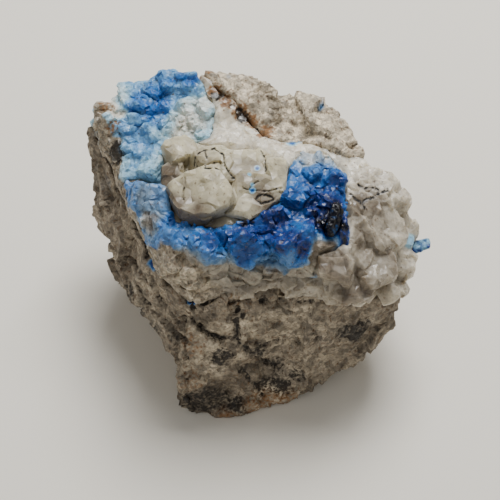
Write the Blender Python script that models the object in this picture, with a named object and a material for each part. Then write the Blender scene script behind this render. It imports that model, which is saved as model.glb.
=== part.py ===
"""A hand specimen of linarite: blue crystal crusts and pale crystals in a quartz vein, on broken host rock.

The tables are in millimetres, with +Z up, the tall broken face towards -Y and the widest side along X.
The block stands on one flat broken face at Z = 0.
"""

import random
from math import pi, radians

import bmesh
import bpy
from mathutils import Euler, Matrix, Vector, noise
from mathutils.bvhtree import BVHTree

MM = 0.001
SPECIMEN = "linarite_specimen"
HELPERS = "helpers"

# Room left round a piece in the pocket that holds it.
POCKET_GAP = 0.22
# Longest edge on each mineral's broken faces, before they are weathered.
HOST_EDGE = 3.9
VEIN_EDGE = 3.9
CRUST_EDGE = 4.2
# Crust crystals, coarse to fine: spacing, then the range of their half size.
PALE_LAYERS = [(2.9, (0.9, 1.3)), (2.0, (0.5, 0.8))]
DEEP_LAYERS = [(3.0, (1.1, 1.6)), (2.1, (0.6, 0.9))]
SEED = 11
# The crystals are spread over what a viewer sees who looks along this line, from this far off.
VIEW_LINE = Vector((0.0, 0.6, -0.8))
VIEW_ACROSS = Vector((1.0, 0.0, 0.0))
VIEW_CENTRE = Vector((0.0, 0.0, 20.0))
VIEW_DISTANCE = 60.0
VIEW_REACH = 30.0
# Weathering bends every piece by one field, so that neighbours keep their gap: wave length, then depth.
WEATHERING = [(9.0, 0.9), (3.6, 0.32)]
# Height over which the weathering fades out above the resting face.
FOOT_FADE = 3.0
# Corners closer than this are one.
MERGE = 0.0004
# Faces that differ by less than this angle are one flat face.
FLAT = 0.002

# Corners of the broken block, level by level.
BLOCK_TOP = [
    (-16.4, 11.5, 24.9), (-13.3, 14.9, 25.6), (4.4, 11.6, 25.6), (10.3, 10.2, 25.4), (13.9, 2.4, 23.8),
    (-14.1, 0.2, 23.6), (-10.6, -7.2, 22.8), (-5.4, -9.3, 23.2), (5.3, -9.1, 23.3), (10.6, -8.9, 22.6),
]
BLOCK_RIGHT_SHOULDER = [
    (17.0, 1.0, 20.6), (17.3, -0.9, 18.0), (17.8, -3.0, 15.5), (18.0, -4.8, 13.0), (17.5, -6.4, 11.0),
    (16.9, -8.7, 8.0), (15.6, 7.0, 12.0), (14.0, 10.5, 10.0),
]
BLOCK_LEFT_SHOULDER = [
    (-18.4, 10.6, 22.8), (-19.1, 9.3, 21.0), (-19.0, 8.0, 19.8), (-17.9, 6.4, 17.0), (-16.2, 1.7, 12.0),
    (-16.3, -0.2, 9.9), (-13.8, -7.2, 9.2), (-7.6, -14.6, 10.0), (-15.5, 14.0, 17.0),
]
BLOCK_FOOT = [
    (-7.8, -16.3, 0.0), (-1.2, -15.3, 0.0), (3.7, -13.9, 0.0), (7.6, -12.8, 1.2), (11.8, -11.3, 4.8),
    (14.2, -10.4, 6.3), (9.5, -9.0, 0.0), (12.5, 0.0, 0.0), (11.0, 9.5, 0.0), (-3.0, 12.5, 0.0),
    (-10.5, 9.0, 0.0), (-10.5, -1.0, 0.0),
]
# The ridge that stands along the back of the top face.
RIDGE = [
    (-13.0, 14.6, 24.0), (-9.0, 14.4, 26.6), (-6.0, 13.8, 27.4), (0.5, 12.9, 27.4), (3.3, 11.3, 26.8),
    (3.5, 10.0, 23.0), (-3.4, 9.2, 26.0), (1.8, 7.6, 25.4), (-6.0, 6.0, 23.0), (1.0, 11.0, 20.0),
    (-10.0, 12.5, 20.0),
]

# Breaks that leave a hollow in the block. Under the left face the rock is undercut down to the resting face.
UNDERCUT = [
    (-7.7, -20.0, 10.4), (-7.9, -20.0, -2.0), (-17.4, 9.0, 9.6), (-6.5, 10.0, -2.0),
    (-30.0, -20.0, 9.0), (-30.0, -20.0, -2.0), (-30.0, 9.0, 9.6), (-30.0, 10.0, -2.0),
]
# Behind the right shoulder two steep breaks meet in a notch.
NOTCH_FOOT, NOTCH_HEAD = -5.0, 30.0
NOTCH_EDGE = [(13.8, 0.2), (14.5, 12.1)]
NOTCH_ARMS = [(-7.2, 16.0), (9.2, -2.2), (10.0, 12.0)]

# Where each mineral lies: its outline seen from above, then the heights between which it lies.
ZONE_TOP = 32.0
VEIN_LEFT = [
    (-19.0, 11.5, 22.4), (-14.0, 18.0, 24.0), (-8.0, 17.0, 24.4), (3.4, 3.9, 23.8), (1.5, -15.0, 16.6),
    (-2.5, -15.0, 16.6), (-5.8, -12.8, 16.8), (-10.8, -8.6, 19.4), (-12.2, -6.2, 20.6), (-15.2, -0.1, 22.0),
]
VEIN_RIGHT = [
    (2.2, 4.9, 24.2), (13.7, 1.4, 23.2), (22.0, 3.0, 19.0), (23.0, -6.0, 11.5), (18.0, -14.0, 11.0),
    (8.0, -15.0, 15.2), (0.5, -15.5, 16.6),
]
PALE_BACK = [
    (-18.8, 11.6, 22.8), (-13.8, 18.0, 24.2), (-6.9, 17.0, 24.6), (-4.6, 9.4, 24.0), (-4.9, 5.8, 23.6),
    (-9.8, 4.9, 23.2), (-15.6, 3.6, 22.8),
]
PALE_FRONT = [
    (-16.2, 5.9, 23.0), (-9.5, 5.9, 23.2), (-9.3, 0.6, 22.4), (-14.5, 0.6, 22.4),
]
SLATE = [
    (-14.6, -0.1, 22.4), (-9.5, -0.1, 22.2), (-8.1, -3.2, 21.8), (-7.9, -6.6, 21.4), (-4.4, -7.2, 20.0),
    (-4.4, -13.0, 17.9), (-8.0, -10.8, 18.8), (-10.4, -8.4, 20.3), (-12.8, -4.0, 21.6),
]
BAND = [
    (-5.4, -7.2, 19.8), (-1.1, -7.0, 20.0), (1.6, -5.6, 20.4), (4.2, -3.5, 21.0), (7.0, -3.6, 21.0),
    (7.2, -9.5, 19.4), (6.6, -14.0, 18.8), (-5.4, -14.0, 17.9),
]
AZURE = [
    (3.9, 0.4, 21.8), (5.6, 3.0, 22.6), (9.0, 3.2, 22.6), (10.9, 1.1, 22.2), (11.0, -3.2, 21.4),
    (10.6, -7.9, 21.0), (7.8, -8.8, 20.6), (6.0, -9.6, 20.4), (3.9, -4.2, 21.0),
]
CREAM = [
    (-9.9, 4.4, 22.6), (-8.2, 5.3, 22.8), (-6.7, 5.1, 22.8), (1.4, 3.4, 22.4), (4.0, 1.2, 22.0),
    (3.6, -3.4, 21.4), (1.3, -5.6, 21.0), (-1.9, -6.5, 20.8), (-5.4, -6.3, 20.8), (-7.7, -5.7, 20.8),
    (-9.2, -0.3, 22.0),
]

# How far the corners of a crystal of half size 1 are cut back, on small crystals and on large ones.
SMALL_CORNER, LARGE_CORNER = 0.34, 0.42
# How deep a small crystal is sunk in its crust, of its half size.
SUNK = 0.25

# Cream crystals: blunt blocks standing in their pocket. Centre, half sizes, turn in degrees.
CREAM_CRYSTALS = [
    ((-4.7, -3.3, 23.8), (3.0, 2.6, 2.6), (14, -12, 24)),
    ((0.8, -3.0, 23.2), (2.6, 2.4, 2.0), (20, 14, -10)),
    ((-0.6, 0.7, 23.9), (2.7, 2.2, 1.9), (8, 8, 12)),
    ((-4.1, 1.6, 24.4), (1.9, 1.7, 1.8), (-12, 20, 38)),
    ((2.7, -0.4, 23.6), (1.5, 2.1, 1.7), (10, 24, 30)),
    ((-8.1, 3.3, 24.5), (1.8, 1.5, 1.5), (4, 22, 40)),
    ((-8.3, 0.6, 23.7), (1.4, 1.4, 1.4), (20, -10, 15)),
]
# Quartz blocks grown together on the right of the vein: centre, half sizes, turn in degrees.
QUARTZ_BLOCKS = [
    ((12.8, -1.6, 22.0), (2.3, 2.0, 1.5), (10, 22, 10)), ((15.1, -0.6, 20.4), (2.0, 1.6, 1.9), (-8, 24, 30)),
    ((16.2, -2.0, 17.4), (1.7, 1.7, 1.8), (15, 30, -20)), ((14.2, -4.6, 20.2), (2.4, 2.1, 1.8), (24, 20, 40)),
    ((15.8, -4.8, 15.6), (2.2, 2.0, 2.2), (20, 34, 12)), ((13.2, -7.9, 18.2), (2.3, 2.0, 2.1), (38, 12, 24)),
    ((15.6, -7.4, 13.4), (1.9, 1.8, 1.9), (30, 30, 50)), ((8.9, -9.5, 20.2), (1.9, 1.3, 2.0), (20, 8, -14)),
    ((10.6, -10.2, 17.4), (2.2, 1.5, 1.4), (30, 20, 8)), ((14.4, 0.8, 22.6), (2.0, 1.6, 1.2), (4, 16, -30)),
    ((5.4, -10.3, 18.2), (2.0, 1.3, 1.1), (24, 6, 30)), ((0.8, -10.5, 18.0), (2.3, 1.2, 1.1), (20, -6, 12)),
]
# A six-sided crystal of half length 1 and radius 1: the length of its sides, and how far its ends are set in.
PRISM_SIDE, PRISM_INSET = 1.3, 0.55
# The dark blue crystal at the edge of the deep crust, and the blue blade on the vein's right tip.
PRISM_CENTRE, PRISM_HALF, PRISM_TURN = (9.3, -6.3, 24.4), (0.85, 2.1, 0.8), (14, 12, -14)
BLADE_CENTRE, BLADE_HALF, BLADE_TURN = (18.5, -3.2, 16.6), (1.7, 0.8, 0.38), (12, -6, 8)


def start_empty_scene():
    """Clears the scene and fixes the seed of the noise that weathers the pieces."""
    for obj in list(bpy.data.objects):
        bpy.data.objects.remove(obj)
    noise.seed_set(SEED)


def add_collection(name):
    bpy.context.scene.collection.children.link(bpy.data.collections.new(name))


def object_from(name, bm, collection):
    mesh = bpy.data.meshes.new(name)
    bm.to_mesh(mesh)
    bm.free()
    obj = bpy.data.objects.new(name, mesh)
    bpy.data.collections[collection].objects.link(obj)
    return obj


def hull_from(corners, grow=0.0):
    """The convex block round the corners, grown on every side."""
    bm = bmesh.new()
    steps = (-grow, grow) if grow else (0.0,)
    for corner in corners:
        for shift in [(x, y, z) for x in steps for y in steps for z in steps]:
            bm.verts.new(Vector(corner) + Vector(shift))
    hull = bmesh.ops.convex_hull(bm, input=bm.verts)
    inside = set(hull["geom_interior"] + hull["geom_unused"]) & set(bm.verts)
    bmesh.ops.delete(bm, geom=list(inside), context="VERTS")
    bmesh.ops.dissolve_limit(bm, angle_limit=0.005, verts=bm.verts, edges=bm.edges)
    return bm


def helper(name, corners, grow=0.0):
    obj = object_from(name, hull_from(corners, grow), HELPERS)
    obj.hide_render = True
    obj.display_type = "WIRE"
    return obj


def settle(obj):
    """Replaces an object's mesh by its evaluated one, in triangles, with corners that touch made one."""
    graph = bpy.context.evaluated_depsgraph_get()
    mesh = bpy.data.meshes.new_from_object(obj.evaluated_get(graph))
    obj.modifiers.clear()
    obj.data = mesh
    bm = bmesh.new()
    bm.from_mesh(mesh)
    bmesh.ops.remove_doubles(bm, verts=bm.verts, dist=MERGE)
    bmesh.ops.triangulate(bm, faces=bm.faces)
    bm.to_mesh(mesh)
    bm.free()


def combine(obj, operation, others):
    """One Boolean after another, each settled before the next."""
    for other in others:
        modifier = obj.modifiers.new(operation.title(), "BOOLEAN")
        modifier.operation = operation
        modifier.object = other
        modifier.use_self = operation == "UNION"
        settle(obj)


def copy_of(source, name, collection):
    obj = bpy.data.objects.new(name, source.data.copy())
    bpy.data.collections[collection].objects.link(obj)
    return obj


def zone(name, outline, grow=0.0):
    """The block of space that a mineral may fill: from its floor up past the top of the specimen."""
    return helper(name, outline + [(x, y, ZONE_TOP) for x, y, _ in outline], grow)


def joined_zone(name, outlines, grow=0.0):
    first, *others = [zone(f"{name}_{n}", outline, grow) for n, outline in enumerate(outlines)]
    if others:
        combine(first, "UNION", others)
    return first


def blunt_crystal(centre, half_size, turn, corner=SMALL_CORNER):
    """A cube with its corners cut off, stretched to half_size and turned."""
    bm = bmesh.new()
    bmesh.ops.create_cube(bm, size=2.0)
    bmesh.ops.bevel(bm, geom=bm.verts[:], offset=corner, offset_type="OFFSET", segments=1, affect="VERTICES")
    turned = Euler(turn).to_matrix().to_4x4()
    placed = Matrix.Translation(centre) @ turned @ Matrix.Diagonal((*half_size, 1.0))
    bmesh.ops.transform(bm, matrix=placed, verts=bm.verts)
    return bm


def blunt_blocks(rows):
    blocks = []
    for centre, half_size, turn in rows:
        blocks.append(blunt_crystal(centre, half_size, [radians(angle) for angle in turn], LARGE_CORNER))
    return blocks


def pointed_crystal(name, centre, half_size, turn):
    """A six-sided crystal with bevelled ends, lying along its own Y axis."""
    bm = bmesh.new()
    bmesh.ops.create_cone(bm, cap_ends=True, segments=6, radius1=1.0, radius2=1.0, depth=PRISM_SIDE)
    for end in [face for face in bm.faces if len(face.verts) == 6]:
        bmesh.ops.inset_region(bm, faces=[end], thickness=PRISM_INSET, use_even_offset=True)
        bmesh.ops.translate(bm, verts=end.verts, vec=end.normal * (2.0 - PRISM_SIDE) / 2)
    lie_down = Euler((radians(90), 0, 0)).to_matrix().to_4x4()
    turned = Euler([radians(angle) for angle in turn]).to_matrix().to_4x4()
    placed = Matrix.Translation(centre) @ turned @ Matrix.Diagonal((*half_size, 1.0)) @ lie_down
    bmesh.ops.transform(bm, matrix=placed, verts=bm.verts)
    return object_from(name, bm, SPECIMEN)


def room_for(piece):
    """The pocket that a convex piece needs in what holds it."""
    return helper(f"{piece.name}_room", [vert.co[:] for vert in piece.data.vertices], POCKET_GAP)


def joined_helper(name, shapes):
    """One helper object that holds several shapes, which a Boolean union then fuses."""
    bm = bmesh.new()
    for shape in shapes:
        mesh = bpy.data.meshes.new("shape")
        shape.to_mesh(mesh)
        shape.free()
        bm.from_mesh(mesh)
        bpy.data.meshes.remove(mesh)
    obj = object_from(name, bm, HELPERS)
    obj.hide_render = True
    obj.display_type = "WIRE"
    return obj


def shells_of(bm):
    """The faces of each closed shell in a mesh."""
    waiting = set(bm.faces)
    shells = []
    while waiting:
        shell = {waiting.pop()}
        growing = list(shell)
        while growing:
            face = growing.pop()
            beside = {other for edge in face.edges for other in edge.link_faces} - shell
            shell |= beside
            growing += beside
        waiting -= shell
        shells.append(shell)
    return shells


def keep_main_body(bm):
    """Drops loose crumbs and closes sealed cavities: only the shell that reaches furthest stays."""
    shells = shells_of(bm)
    largest = max(shells, key=lambda shell: sum(face.calc_area() for face in shell))
    crumbs = [face for shell in shells if shell is not largest for face in shell]
    bmesh.ops.delete(bm, geom=crumbs, context="FACES")


def refine(obj, longest, passes=5):
    """Splits the long edges of flat faces, so that weathering can bend them."""
    bm = bmesh.new()
    bm.from_mesh(obj.data)
    keep_main_body(bm)
    bmesh.ops.remove_doubles(bm, verts=bm.verts, dist=MERGE)
    bmesh.ops.dissolve_limit(bm, angle_limit=FLAT, verts=bm.verts, edges=bm.edges)
    bmesh.ops.triangulate(bm, faces=bm.faces)
    for _ in range(passes):
        long_edges = [edge for edge in bm.edges if edge.calc_length() > longest]
        bmesh.ops.subdivide_edges(bm, edges=long_edges, cuts=1)
        bmesh.ops.triangulate(bm, faces=[face for face in bm.faces if len(face.verts) > 3])
    bm.to_mesh(obj.data)
    bm.free()


def weathered(point):
    """Where weathering and the uneven break carry a point of the block."""
    drift = Vector()
    for wave, depth in WEATHERING:
        drift += depth * noise.noise_vector(point / wave)
    drift.z *= min(1.0, max(0.0, point.z / FOOT_FADE))
    return point + drift


def weather(obj):
    for vert in obj.data.vertices:
        vert.co = weathered(vert.co)


def surface_spots(target, outline_zone, spacing, rng):
    """Points spread over the part of a surface that a viewer standing before it sees inside a zone."""
    graph = bpy.context.evaluated_depsgraph_get()
    surface = BVHTree.FromObject(target, graph)
    space = BVHTree.FromObject(outline_zone, graph)
    upwards = VIEW_ACROSS.cross(VIEW_LINE)
    spots = []
    steps = int(VIEW_REACH / spacing)
    for column in range(-steps, steps):
        for row in range(-steps, steps):
            side = (column + rng.uniform(-0.4, 0.4)) * spacing
            rise = (row + rng.uniform(-0.4, 0.4)) * spacing
            start = VIEW_CENTRE + side * VIEW_ACROSS + rise * upwards - VIEW_DISTANCE * VIEW_LINE
            place, normal, _, _ = surface.ray_cast(start, VIEW_LINE)
            if place is None:
                continue
            nearest, outward, _, reach = space.find_nearest(place)
            if (place - nearest).dot(outward) < 0 and reach > 0.3 * spacing:
                spots.append((place, normal))
    return spots


def crust_crystals(target, outline_zone, spacing, size, rng):
    """Blunt crystals of one size class, sunk in a surface."""
    shapes = []
    for place, normal in surface_spots(target, outline_zone, spacing, rng):
        half = rng.uniform(*size)
        stretch = [half * rng.uniform(0.75, 1.25) for _ in range(3)]
        turn = [rng.uniform(0, pi) for _ in range(3)]
        shapes.append(blunt_crystal(place - normal * half * SUNK, stretch, turn))
    return shapes


def material(name, colour, roughness):
    made = bpy.data.materials.new(name)
    made.use_nodes = True
    shader = made.node_tree.nodes["Principled BSDF"]
    shader.inputs["Base Color"].default_value = (*colour, 1.0)
    shader.inputs["Roughness"].default_value = roughness
    return made


def finish(obj, colour, roughness):
    """Scales a piece from millimetres to metres and gives it its material."""
    obj.data.transform(Matrix.Scale(MM, 4))
    obj.data.materials.clear()
    obj.data.materials.append(material(obj.name, colour, roughness))


def back_notch():
    """The wedge of missing rock behind the right shoulder: a steep valley edge with two arms."""
    corners = []
    for height, (x, y) in zip((NOTCH_HEAD, NOTCH_FOOT), NOTCH_EDGE):
        corners.append((x, y, height))
        corners += [(x + along, y + back, height) for along, back in NOTCH_ARMS]
    return helper("back_notch", corners)


def whole_block():
    """The whole specimen without its crystals, from which every mineral takes its share."""
    block = helper("whole_block", BLOCK_TOP + BLOCK_RIGHT_SHOULDER + BLOCK_LEFT_SHOULDER + BLOCK_FOOT)
    combine(block, "UNION", [helper("ridge", RIDGE)])
    combine(block, "DIFFERENCE", [helper("undercut", UNDERCUT), back_notch()])
    return block


def host_rock(block):
    """The host rock: the block, less the room for the vein and for what grows beside it."""
    rock = copy_of(block, "host_rock", SPECIMEN)
    pockets = [
        joined_zone("vein_room", [VEIN_LEFT, VEIN_RIGHT], POCKET_GAP),
        joined_zone("pale_room", [PALE_BACK, PALE_FRONT], POCKET_GAP),
        joined_zone("blue_room", [SLATE, BAND, AZURE], POCKET_GAP),
        zone("cream_room", CREAM, POCKET_GAP),
    ]
    combine(rock, "DIFFERENCE", pockets)
    refine(rock, HOST_EDGE)
    return rock


def quartz_vein(block, blade):
    """The vein: the block's upper layer, quartz blocks on its right, and pockets for what grows in it."""
    vein = copy_of(block, "quartz_vein", SPECIMEN)
    space = joined_zone("vein_space", [VEIN_LEFT, VEIN_RIGHT])
    combine(vein, "INTERSECT", [space])
    blocks = joined_helper("quartz_blocks", blunt_blocks(QUARTZ_BLOCKS))
    combine(vein, "UNION", [blocks])
    combine(vein, "INTERSECT", [space])
    pockets = [
        joined_zone("pale_pocket", [PALE_BACK, PALE_FRONT], POCKET_GAP),
        joined_zone("blue_pocket", [SLATE, BAND, AZURE], POCKET_GAP),
        zone("cream_pocket", CREAM, POCKET_GAP),
        room_for(blade),
    ]
    combine(vein, "DIFFERENCE", pockets)
    refine(vein, VEIN_EDGE)
    return vein


def crust(name, block, outlines, layers, rng, beds=()):
    """A crust: the block's own surface layer in its zone, with crystals of several sizes grown on it."""
    space = joined_zone(f"{name}_space", outlines)
    piece = copy_of(block, name, SPECIMEN)
    combine(piece, "INTERSECT", [space])
    shapes = []
    for spacing, size in layers:
        shapes += crust_crystals(block, space, spacing, size, rng)
    combine(piece, "UNION", [joined_helper(f"{name}_crystals", shapes)])
    combine(piece, "INTERSECT", [space])
    combine(piece, "DIFFERENCE", [zone(f"{name}_cream_pocket", CREAM, POCKET_GAP), *beds])
    refine(piece, CRUST_EDGE)
    return piece


def cream_crystals(block):
    """The large pale crystals, grown together on one bed."""
    piece = copy_of(block, "cream_crystals", SPECIMEN)
    space = zone("cream_space", CREAM)
    combine(piece, "INTERSECT", [space])
    combine(piece, "UNION", [joined_helper("cream_blocks", blunt_blocks(CREAM_CRYSTALS))])
    combine(piece, "INTERSECT", [space])
    refine(piece, CRUST_EDGE)
    return piece


def stand_on_origin(pieces):
    """Moves the pieces together, so that the middle of their underside is the origin."""
    points = [vert.co for piece in pieces for vert in piece.data.vertices]
    low = Vector([min(point[axis] for point in points) for axis in range(3)])
    high = Vector([max(point[axis] for point in points) for axis in range(3)])
    shift = -Vector(((low.x + high.x) / 2, (low.y + high.y) / 2, low.z))
    for piece in pieces:
        piece.data.transform(Matrix.Translation(shift))


def main():
    start_empty_scene()
    add_collection(SPECIMEN)
    add_collection(HELPERS)
    rng = random.Random(SEED)
    block = whole_block()
    prism = pointed_crystal("linarite_prism", PRISM_CENTRE, PRISM_HALF, PRISM_TURN)
    blade = pointed_crystal("linarite_blade", BLADE_CENTRE, BLADE_HALF, BLADE_TURN)
    pale_crust = crust("pale_linarite_crust", block, [PALE_BACK, PALE_FRONT], PALE_LAYERS, rng)
    deep_zones = [SLATE, BAND, AZURE]
    deep_crust = crust("deep_linarite_crust", block, deep_zones, DEEP_LAYERS, rng, [room_for(prism)])
    looks = {
        host_rock(block): ((0.14, 0.10, 0.07), 0.85),
        quartz_vein(block, blade): ((0.45, 0.41, 0.35), 0.45),
        pale_crust: ((0.15, 0.30, 0.45), 0.4),
        deep_crust: ((0.02, 0.06, 0.17), 0.35),
        cream_crystals(block): ((0.37, 0.35, 0.28), 0.3),
        prism: ((0.01, 0.02, 0.06), 0.2),
        blade: ((0.05, 0.15, 0.35), 0.25),
    }
    for piece in looks:
        weather(piece)
    stand_on_origin(looks)
    for piece, (colour, roughness) in looks.items():
        finish(piece, colour, roughness)


if __name__ == "__main__":
    main()
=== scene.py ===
"""Dresses a small linarite specimen: sandy host rock, a quartz vein, blue crusts and pale crystals.

Lengths in the tables of patches and lines are millimetres. Their places are points of the 500 x 500 picture
that the camera takes, and each is carried along the line of sight to the surface of the specimen.
"""

import math
from collections import namedtuple

import bpy
import numpy as np
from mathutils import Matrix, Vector, noise
from mathutils.bvhtree import BVHTree


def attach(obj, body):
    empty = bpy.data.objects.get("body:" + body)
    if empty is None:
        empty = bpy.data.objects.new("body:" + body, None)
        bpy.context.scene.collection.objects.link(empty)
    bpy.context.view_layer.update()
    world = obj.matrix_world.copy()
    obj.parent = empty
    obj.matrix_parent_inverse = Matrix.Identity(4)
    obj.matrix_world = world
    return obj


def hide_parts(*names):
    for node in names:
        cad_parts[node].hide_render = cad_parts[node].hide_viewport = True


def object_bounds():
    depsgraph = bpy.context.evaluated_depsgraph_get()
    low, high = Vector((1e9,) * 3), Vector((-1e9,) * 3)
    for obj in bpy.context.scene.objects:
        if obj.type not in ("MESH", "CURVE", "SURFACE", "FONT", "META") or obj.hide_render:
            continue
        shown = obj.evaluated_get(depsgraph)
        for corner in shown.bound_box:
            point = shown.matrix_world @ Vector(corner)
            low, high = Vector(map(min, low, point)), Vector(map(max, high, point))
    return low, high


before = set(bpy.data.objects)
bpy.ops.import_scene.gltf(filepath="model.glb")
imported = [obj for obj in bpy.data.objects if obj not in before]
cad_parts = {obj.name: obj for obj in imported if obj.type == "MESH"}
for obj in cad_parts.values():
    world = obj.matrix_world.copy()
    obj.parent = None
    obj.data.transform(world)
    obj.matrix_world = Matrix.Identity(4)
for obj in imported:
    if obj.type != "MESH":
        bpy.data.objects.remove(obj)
CAD_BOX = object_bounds()

bl_info = {
    "name": "Linarite Specimen",
    "version": (1, 0, 0),
    "blender": (4, 5, 0),
    "location": "View3D > Sidebar > Specimen",
    "description": "Builds the dressed linarite specimen and its studio",
    "category": "Object",
}

MM = 0.001
# The picture is square: its side in pixels.
PICTURE_SIDE = 500
SEED = 11

# A soft round patch: its middle in the picture, its radius in millimetres, and the value that it brings.
Patch = namedtuple("Patch", "x y radius value")
# A crack or a line of grains: its points in the picture, its width in millimetres, and how dark it is.
Line = namedtuple("Line", "points width dark")
# How far apart the bends of an uneven edge are, and how far an edge wanders, in radii of its patch.
WAVER_SIZE = 1.3 * MM
EDGE_WANDER = 0.4
# A patch fades out over one radius, and is gone at this many radii. Points beyond its reach are left out.
PATCH_END = 1.45
PATCH_REACH = 2
# A crack fades out over one width, and is gone at this many widths. Its wander is how far it strays.
CRACK_END = 1.3
CRACK_WANDER = 0.15 * MM

# Chips on a broken surface, coarse before fine: how wide they are, how steeply they tilt, and a seed.
ROCK_CHIPS = [(5.0 * MM, 0.42, 3), (1.9 * MM, 0.40, 4)]
VEIN_CHIPS = [(2.2 * MM, 0.30, 4)]
CREAM_CHIPS = [(2.4 * MM, 0.20, 8)]
# Smooth swells over the chips: how wide and how deep they are, and a seed.
ROCK_SWELLS = [(2.4 * MM, 0.20 * MM, 5), (0.8 * MM, 0.09 * MM, 9)]
VEIN_SWELLS = [(1.1 * MM, 0.16 * MM, 6)]
CREAM_SWELLS = [(1.5 * MM, 0.16 * MM, 12)]
# How deep the cracks and threads of each mineral are sunk.
ROCK_CRACK_DEPTH = 0.45 * MM
VEIN_CRACK_DEPTH = 0.12 * MM
CREAM_CRACK_DEPTH = 0.16 * MM
# How many times the surface of each mineral is smoothed before its relief is laid on.
VEIN_SMOOTHING = 30
CREAM_SMOOTHING = 14
PALE_SMOOTHING = 4
DEEP_SMOOTHING = 3
# A factor that sets the random tilts of neighbouring chips apart.
TILT_SPREAD = 7.3
# How far crystals bend aside, and over how many of them their direction swings round.
FACET_BEND = 0.35
FACET_SWIRL = 2.2
# How wide the unevenness of a flat facet is.
FACET_SWELL = 0.4 * MM
# The roughness's layers: how many, how fast they weaken, and how much finer each is.
ROUGH_LAYERS = 3
ROUGH_FALL = 0.7
ROUGH_STEP = 2.0
# The facets of the two dark crystals: how wide and how deep they are.
CRYSTAL_FACET = 0.6 * MM
CRYSTAL_FACET_DEPTH = 0.14 * MM
# How strongly fine grain stirs the blues.
BLUE_SWING = 0.5

# The lights' places and widths in metres, the light of the room, and the side of the floor.
KEY_PLACE = (0.04, 0.14, 0.30)
KEY_WIDTH = 0.16
FILL_PLACE = (-0.15, -0.30, 0.20)
FILL_WIDTH = 0.30
ROOM_COLOUR = (1.0, 0.98, 0.95, 1.0)
FLOOR_SIDE = 1.6


def linear(hex_colour):
    """Turns an sRGB hex colour such as #4080c0 into linear red, green and blue."""
    channels = [int(hex_colour[at : at + 2], 16) / 255 for at in (1, 3, 5)]
    return tuple(c / 12.92 if c <= 0.04045 else ((c + 0.055) / 1.055) ** 2.4 for c in channels)


# How blue the surface is: 0 is bare rock or quartz, 0.3 sky blue, 0.6 azure, 1 nearly black blue.
BLUE_PATCHES = [
    # Pale crust: a white sugary rim, deeper hollows, a white fan towards the cream crystals.
    Patch(122, 104, 2.6, 0.26), Patch(112, 112, 1.6, 0.10), Patch(140, 80, 2.0, 0.44),
    Patch(160, 80, 2.4, 0.52), Patch(182, 84, 2.2, 0.62), Patch(194, 86, 1.6, 0.66),
    Patch(178, 95, 1.6, 0.50), Patch(150, 98, 2.8, 0.54), Patch(152, 112, 3.0, 0.64),
    Patch(168, 116, 2.0, 0.56), Patch(203, 88, 1.0, 0.46), Patch(134, 130, 2.4, 0.50),
    Patch(146, 148, 2.6, 0.50), Patch(160, 138, 1.6, 0.42), Patch(192, 112, 2.4, 0.26),
    Patch(186, 128, 2.2, 0.18), Patch(174, 142, 1.8, 0.03), Patch(214, 120, 1.0, 0.16),
    Patch(208, 104, 1.4, 0.22), Patch(101, 118, 0.9, 0.34),
    # Slate blue slope on the left.
    Patch(148, 172, 1.6, 0.38), Patch(158, 186, 2.4, 0.34), Patch(144, 196, 1.4, 0.30),
    Patch(166, 204, 2.2, 0.44), Patch(200, 221, 2.0, 0.70), Patch(178, 232, 2.0, 0.56),
    Patch(168, 222, 1.1, 0.70), Patch(196, 246, 1.8, 0.54), Patch(184, 256, 1.4, 0.24),
    Patch(152, 222, 1.6, 0.16),
    # Band along the front of the pale crystals, under their overhang: its deep blues are partly the crust's
    # own colour and partly painted shade.
    Patch(216, 238, 2.0, 0.72), Patch(248, 231, 2.2, 0.82), Patch(237, 246, 1.8, 0.74),
    Patch(275, 220, 2.0, 0.86), Patch(262, 242, 1.8, 0.78), Patch(293, 240, 2.4, 0.82),
    Patch(303, 250, 1.4, 0.84), Patch(242, 258, 1.1, 0.78), Patch(222, 262, 1.4, 0.36),
    Patch(290, 260, 1.2, 0.50), Patch(268, 262, 1.4, 0.42),
    # Azure corner: pale above, deep on the right.
    Patch(296, 178, 2.0, 0.62), Patch(290, 196, 1.8, 0.72), Patch(303, 214, 2.2, 0.72),
    Patch(312, 192, 2.0, 0.80), Patch(322, 174, 2.2, 0.56), Patch(332, 160, 1.8, 0.30),
    Patch(308, 160, 1.6, 0.28), Patch(338, 186, 1.8, 0.78), Patch(328, 198, 1.8, 0.78),
    Patch(322, 224, 1.8, 0.84), Patch(335, 214, 2.4, 0.95), Patch(338, 228, 2.2, 0.97),
    # Outer rims, where the blue runs out over grey quartz.
    Patch(196, 267, 1.7, 0.06), Patch(212, 273, 1.8, 0.04), Patch(228, 277, 1.8, 0.04),
    Patch(246, 279, 1.8, 0.04), Patch(264, 279, 1.8, 0.04), Patch(281, 278, 1.8, 0.04),
    Patch(298, 273, 1.8, 0.04), Patch(312, 264, 1.8, 0.05), Patch(323, 250, 1.6, 0.06),
    Patch(348, 168, 1.2, 0.10), Patch(322, 150, 1.1, 0.12), Patch(350, 190, 0.9, 0.30),
]
# Lone blue spots on the rock, the vein and the pale crystals.
BLUE_SPOTS = [
    Patch(292, 143, 0.75, 0.62), Patch(299, 140, 0.5, 0.50), Patch(318, 104, 0.8, 0.50),
    Patch(227, 79, 0.6, 0.30), Patch(257, 169, 0.40, 0.78), Patch(251, 185, 0.36, 0.86),
    Patch(252, 191, 0.42, 0.62), Patch(249, 175, 0.3, 0.55), Patch(106, 185, 1.2, 0.16),
    Patch(137, 216, 1.0, 0.22), Patch(156, 252, 0.7, 0.72), Patch(154, 265, 0.7, 0.80),
    Patch(191, 302, 0.5, 0.98), Patch(408, 240, 1.0, 0.40), Patch(281, 244, 0.55, 0.98),
    Patch(146, 205, 0.8, 0.34),
]
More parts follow.
